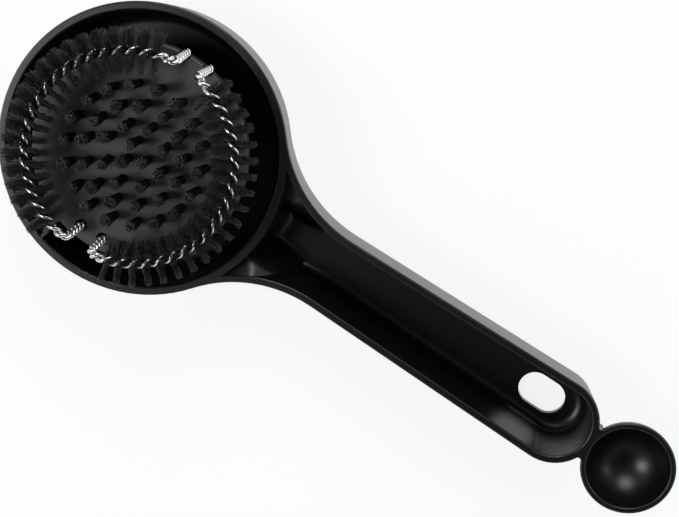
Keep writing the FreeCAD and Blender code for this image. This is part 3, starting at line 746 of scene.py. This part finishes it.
def white_to_the_eye(tree, shading):
    """Mix plain white into what the camera sees, and show only white to mirror rays."""
    seen = add(tree, "ShaderNodeLightPath").outputs
    direct = add(tree, "ShaderNodeMath", {
        0: seen["Is Camera Ray"], 1: PAPER_WHITENESS}, operation="MULTIPLY")
    mirrored = add(tree, "ShaderNodeMath", {
        0: seen["Is Glossy Ray"], 1: seen["Is Transmission Ray"]}, operation="MAXIMUM")
    share = add(tree, "ShaderNodeMath", {0: direct, 1: mirrored}, operation="MAXIMUM")
    white = add(tree, "ShaderNodeEmission", {"Color": (1, 1, 1, 1), "Strength": 1.0})
    return add(tree, "ShaderNodeMixShader", {"Fac": share, 1: shading, 2: white}).outputs[0]


paper, tree, shader = new_material(
    "white paper", Base_Color=colour("ffffff"), Roughness=0.9, Specular_IOR_Level=0.1)
tree.links.new(white_to_the_eye(tree, shader.outputs[0]),
               tree.nodes["Material Output"].inputs["Surface"])
mesh = bpy.data.meshes.new("floor")
mesh.from_pydata([(x * PAPER_REACH, y * PAPER_REACH, 0)
                  for x, y in ((-1, -1), (1, -1), (1, 1), (-1, 1))], [], [(0, 1, 2, 3)])
mesh.materials.append(paper)
floor = bpy.data.objects.new("floor", mesh)
bpy.context.scene.collection.objects.link(floor)
print("the paper is", 2 * PAPER_REACH, "m wide")

# %% [markdown]
# ## The lamps
# Black plastic shows mostly what it reflects, so lamps matter more here than colours do. Bright
# spots in the photograph's scoop, traced back through the camera, suggest where lamps stood: one
# to the left, one beyond the tool and a weak one to the right. Square lamps stand there.

# %% Lamps
AIM = Vector((0.08, 0, 0.02))
LAMP_DISTANCE = 1.0
SOFTBOXES = {
    "left softbox": {"heading": -150, "height": 52, "size": 0.4, "power": 4.0},
    "far softbox": {"heading": 113, "height": 35, "size": 0.5, "power": 4.2},
    "right softbox": {"heading": 43, "height": 20, "size": 0.4, "power": 1.4},
}


def softbox(name, heading, height, size, power):
    """A square lamp that faces the tool, from a heading and a height in degrees."""
    lamp = bpy.data.lights.new(name, "AREA")
    lamp.size = size
    lamp.energy = power
    flat = math.cos(math.radians(height))
    away = turned(flat, heading) + math.sin(math.radians(height)) * UP
    holder = bpy.data.objects.new(name, lamp)
    holder.location = AIM + LAMP_DISTANCE * away
    holder.rotation_euler = away.to_track_quat("Z", "Y").to_euler()
    bpy.context.scene.collection.objects.link(holder)
    print(name, "gives", power, "W")


for name, values in SOFTBOXES.items():
    softbox(name, **values)

# %% [markdown]
# ## The sky
# A photograph's surroundings can only be guessed from reflections. Here the sky is bright all
# round and darkens overhead. The bright low part draws the light edges of the tool, and the dark
# top keeps its flat black surfaces deep. The camera itself sees plain white.

# %% Sky
HORIZON, OVERHEAD = 1.15, 0.05
OVERHEAD_FROM = 0.9

world = bpy.data.worlds.new("studio")
bpy.context.scene.world = world
world.use_nodes = True
tree = world.node_tree
tree.nodes.clear()
ray = add(tree, "ShaderNodeTexCoord").outputs["Generated"]
height = add(tree, "ShaderNodeSeparateXYZ", {0: ray}).outputs["Z"]
dimmed = add(tree, "ShaderNodeMapRange", {
    "Value": height, "From Min": 0.0, "From Max": OVERHEAD_FROM,
    "To Min": HORIZON, "To Max": OVERHEAD})
seen = add(tree, "ShaderNodeLightPath").outputs["Is Camera Ray"]
lit = add(tree, "ShaderNodeBackground", {"Color": (1, 1, 1, 1), "Strength": dimmed})
white = add(tree, "ShaderNodeBackground", {"Color": (1, 1, 1, 1), "Strength": 1.0})
chosen = add(tree, "ShaderNodeMixShader", {"Fac": seen, 1: lit, 2: white})
add(tree, "ShaderNodeOutputWorld", {"Surface": chosen})
print("the sky goes from", HORIZON, "at the horizon to", OVERHEAD, "overhead")

# %% [markdown]
# ## The camera
# The photograph looks down on the tool. The camera's directions and place were fitted to the
# outlines of the cup, the plate, the half rings, the handle, the slot and the scoop. The focal
# length was not measured: it is the middle one of three that were tried. Two directions are
# enough for the camera's turn, because the third is square to both.

# %% Camera
VIEW_RIGHT = (0.8372, 0.5300, -0.1347)
VIEW_BACK = (-0.0036, 0.2517, 0.9678)
CAMERA_PLACE = (0.06387, 0.12337, 0.47355)
SENSOR_WIDTH = 36
FOCAL_LENGTH = 84.85
SHIFT_UP = -0.002

right = Vector(VIEW_RIGHT).normalized()
back = Vector(VIEW_BACK)
back = (back - right * back.dot(right)).normalized()
turn_to = Matrix((right, back.cross(right), back)).transposed()
lens = bpy.data.cameras.new("camera")
lens.sensor_width = SENSOR_WIDTH
lens.lens = FOCAL_LENGTH
lens.shift_y = SHIFT_UP
camera = bpy.data.objects.new("camera", lens)
camera.matrix_world = Matrix.Translation(CAMERA_PLACE) @ turn_to.to_4x4()
bpy.context.scene.collection.objects.link(camera)
bpy.context.scene.camera = camera
bpy.context.scene.view_settings.view_transform = "Standard"
print("the lens is", FOCAL_LENGTH, "mm long")
